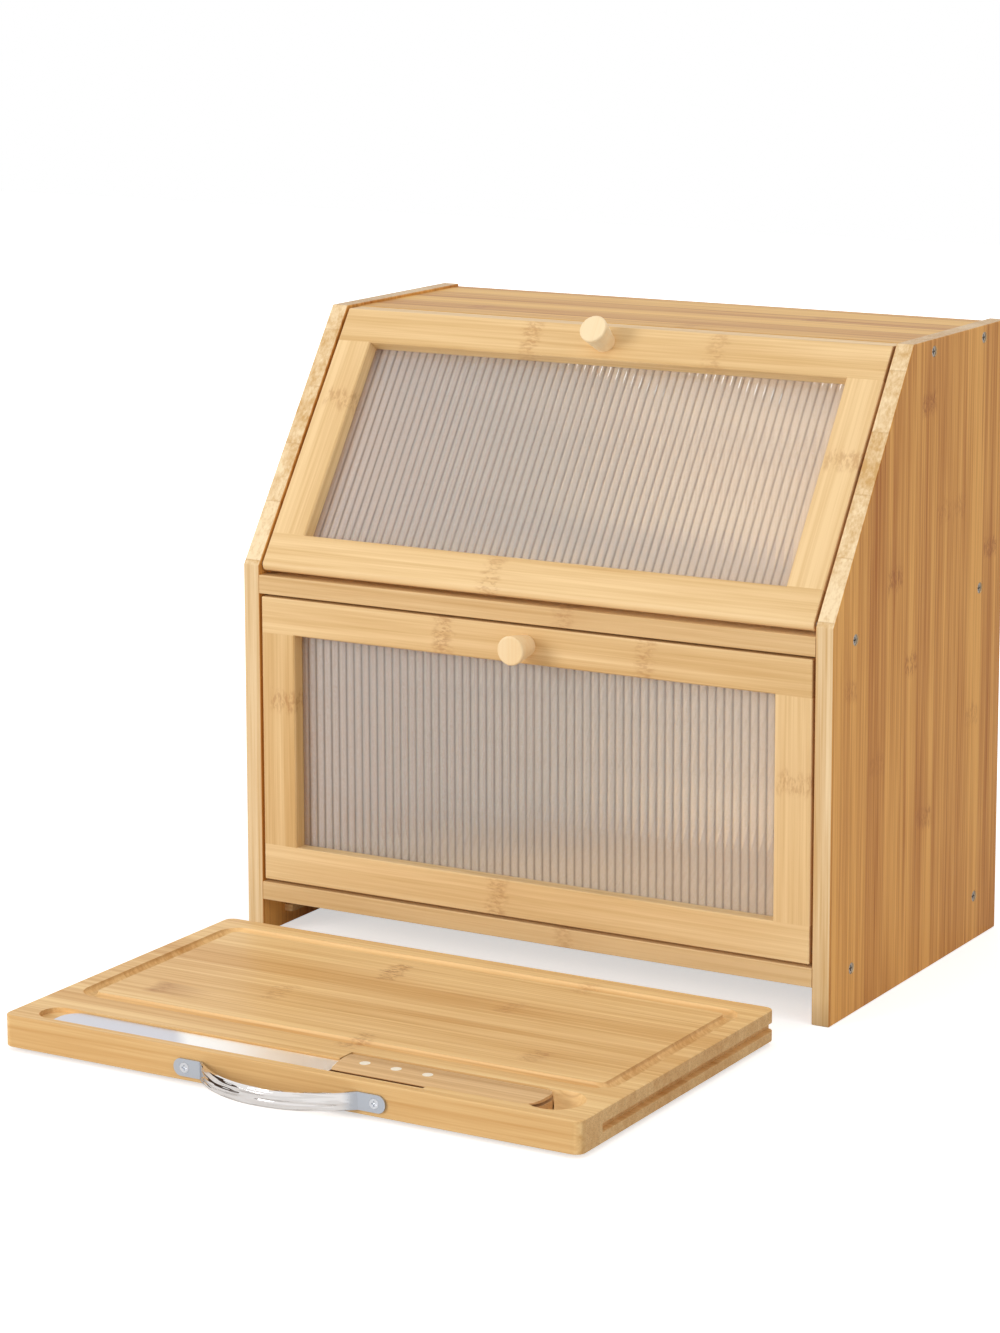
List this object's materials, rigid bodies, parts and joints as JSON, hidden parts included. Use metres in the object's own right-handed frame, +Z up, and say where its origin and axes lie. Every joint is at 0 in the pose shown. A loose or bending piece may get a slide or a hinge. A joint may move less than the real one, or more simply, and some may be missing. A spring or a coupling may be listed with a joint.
{
  "type": "bread box with drawer",
  "caption": "Bamboo bread box with flip-down reeded windows on both levels, a sloped upper front and a cutting board with a knife that slides out below on runners.",
  "frame": {"origin": "on the table under the middle of the whole, from the board handle's arch to the back, midway between the sides", "axes": "+X to the right seen from the front, +Y from the front to the back, +Z up"},
  "size_m": [0.4, 0.5304, 0.3892],
  "materials": {
    "bamboo_side": "satin lacquer, upright grain",
    "bamboo_top": "satin lacquer, grain across",
    "bamboo_shelf": "satin lacquer, grain across",
    "bamboo_back": "satin, grain across",
    "bamboo_door": "satin lacquer",
    "bamboo_knob": "turned, satin",
    "bamboo_board": "oiled, grain across",
    "knife_wood": "oiled",
    "dowel_wood": "plain",
    "reeded_acrylic": "clear, fluted on the front",
    "polished_steel": "mirror polished",
    "blade_steel": "polished",
    "screw_steel": "bright",
    "nickel": "nickel plated"
  },
  "bodies": {
    "carcass": {"back_panel": "bamboo_back", "back_screws": "screw_steel", "board_runner_left": "bamboo_shelf", "board_runner_right": "bamboo_shelf", "bottom_shelf": "bamboo_shelf", "door_magnets": "nickel", "door_stop_strip": "bamboo_shelf", "hinge_pins": "screw_steel", "middle_shelf": "bamboo_shelf", "side_panel_left": "bamboo_side", "side_panel_right": "bamboo_side", "side_screws_left": "screw_steel", "side_screws_right": "screw_steel", "top_panel": "bamboo_top"},
    "upper_door": {"upper_door_bottom_rail": "bamboo_door", "upper_door_dowels": "dowel_wood", "upper_door_knob": "bamboo_knob", "upper_door_knob_screw": "screw_steel", "upper_door_left_stile": "bamboo_door", "upper_door_pane": "reeded_acrylic", "upper_door_pane_screws": "screw_steel", "upper_door_right_stile": "bamboo_door", "upper_door_striker_discs": "nickel", "upper_door_top_rail": "bamboo_door"},
    "lower_door": {"lower_door_bottom_rail": "bamboo_door", "lower_door_dowels": "dowel_wood", "lower_door_knob": "bamboo_knob", "lower_door_knob_screw": "screw_steel", "lower_door_left_stile": "bamboo_door", "lower_door_pane": "reeded_acrylic", "lower_door_pane_screws": "screw_steel", "lower_door_right_stile": "bamboo_door", "lower_door_striker_discs": "nickel", "lower_door_top_rail": "bamboo_door"},
    "board": {"board_handle": "polished_steel", "board_handle_screws": "screw_steel", "cutting_board": "bamboo_board", "knife_blade": "blade_steel", "knife_lower_scale": "knife_wood", "knife_rivets": "screw_steel", "knife_upper_scale": "knife_wood"}
  },
  "joints": [
    {"name": "upper_door_hinge", "type": "hinge", "parent": "carcass", "child": "upper_door", "pos_m": [0, 0.03054, 0.2338], "axis": [1, 0, 0], "range_deg": [0, 142]},
    {"name": "lower_door_hinge", "type": "hinge", "parent": "carcass", "child": "lower_door", "pos_m": [0, 0.03025, 0.0421], "axis": [1, 0, 0], "range_deg": [0, 88]},
    {"name": "board_slide", "type": "slide", "parent": "carcass", "child": "board", "axis": [0, 1, 0], "range_m": [0, 0.2673]}
  ]
}
